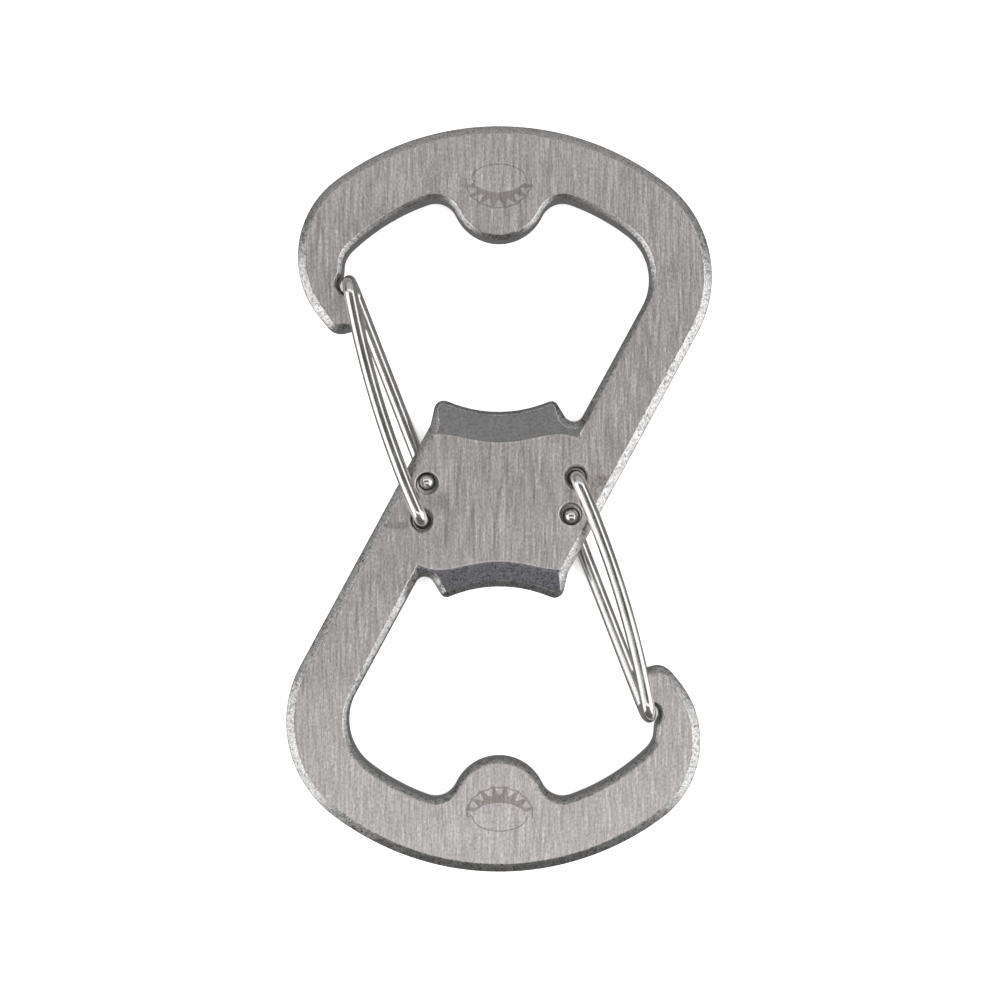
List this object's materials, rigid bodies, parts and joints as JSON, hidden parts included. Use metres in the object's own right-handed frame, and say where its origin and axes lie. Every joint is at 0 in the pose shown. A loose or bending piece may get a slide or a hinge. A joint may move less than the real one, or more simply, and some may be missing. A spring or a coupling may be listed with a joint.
{
  "type": "double-ended s snap hook",
  "caption": "Flat S-shaped snap hook with a sprung wire gate on each loop and a bottle opener in each loop.",
  "frame": {"origin": "middle of the plate, at half its thickness, between the two loops", "axes": "+Y along the hook towards the upper loop, +X across it, +Z out of the front face"},
  "size_m": [0.0434, 0.076, 0.0072],
  "materials": {
    "plate": "brushed stainless plate, tumbled bevels",
    "wire": "bright drawn stainless spring wire"
  },
  "bodies": {
    "frame": {"frame": "plate"},
    "upper_gate_front": {"upper_gate_front_leg": "wire"},
    "upper_gate_back": {"upper_gate_back_leg": "wire"},
    "lower_gate_front": {"lower_gate_front_leg": "wire"},
    "lower_gate_back": {"lower_gate_back_leg": "wire"}
  },
  "joints": [
    {"name": "upper_gate_swing", "type": "hinge", "parent": "frame", "child": "upper_gate_front", "pos_m": [-0.00785, -0.0022, 0], "axis": [0, 0, -1], "range_deg": [0, 50], "stiffness_Nm_per_rad": 0.14, "springref_deg": -20.63},
    {"name": "upper_back_leg_swing", "type": "hinge", "parent": "upper_gate_front", "child": "upper_gate_back", "pos_m": [-0.01525, 0.02209, 0], "axis": [0, 0, -1], "range_deg": [0, 9]},
    {"name": "lower_gate_swing", "type": "hinge", "parent": "frame", "child": "lower_gate_front", "pos_m": [0.00785, 0.0022, 0], "axis": [0, 0, -1], "range_deg": [0, 50], "stiffness_Nm_per_rad": 0.14, "springref_deg": -20.63},
    {"name": "lower_back_leg_swing", "type": "hinge", "parent": "lower_gate_front", "child": "lower_gate_back", "pos_m": [0.01525, -0.02209, 0], "axis": [0, 0, -1], "range_deg": [0, 9]}
  ],
  "couplings": [
    {"joint": "upper_back_leg_swing", "follows": "upper_gate_swing", "ratio": 0.1666},
    {"joint": "lower_back_leg_swing", "follows": "lower_gate_swing", "ratio": 0.1666}
  ]
}
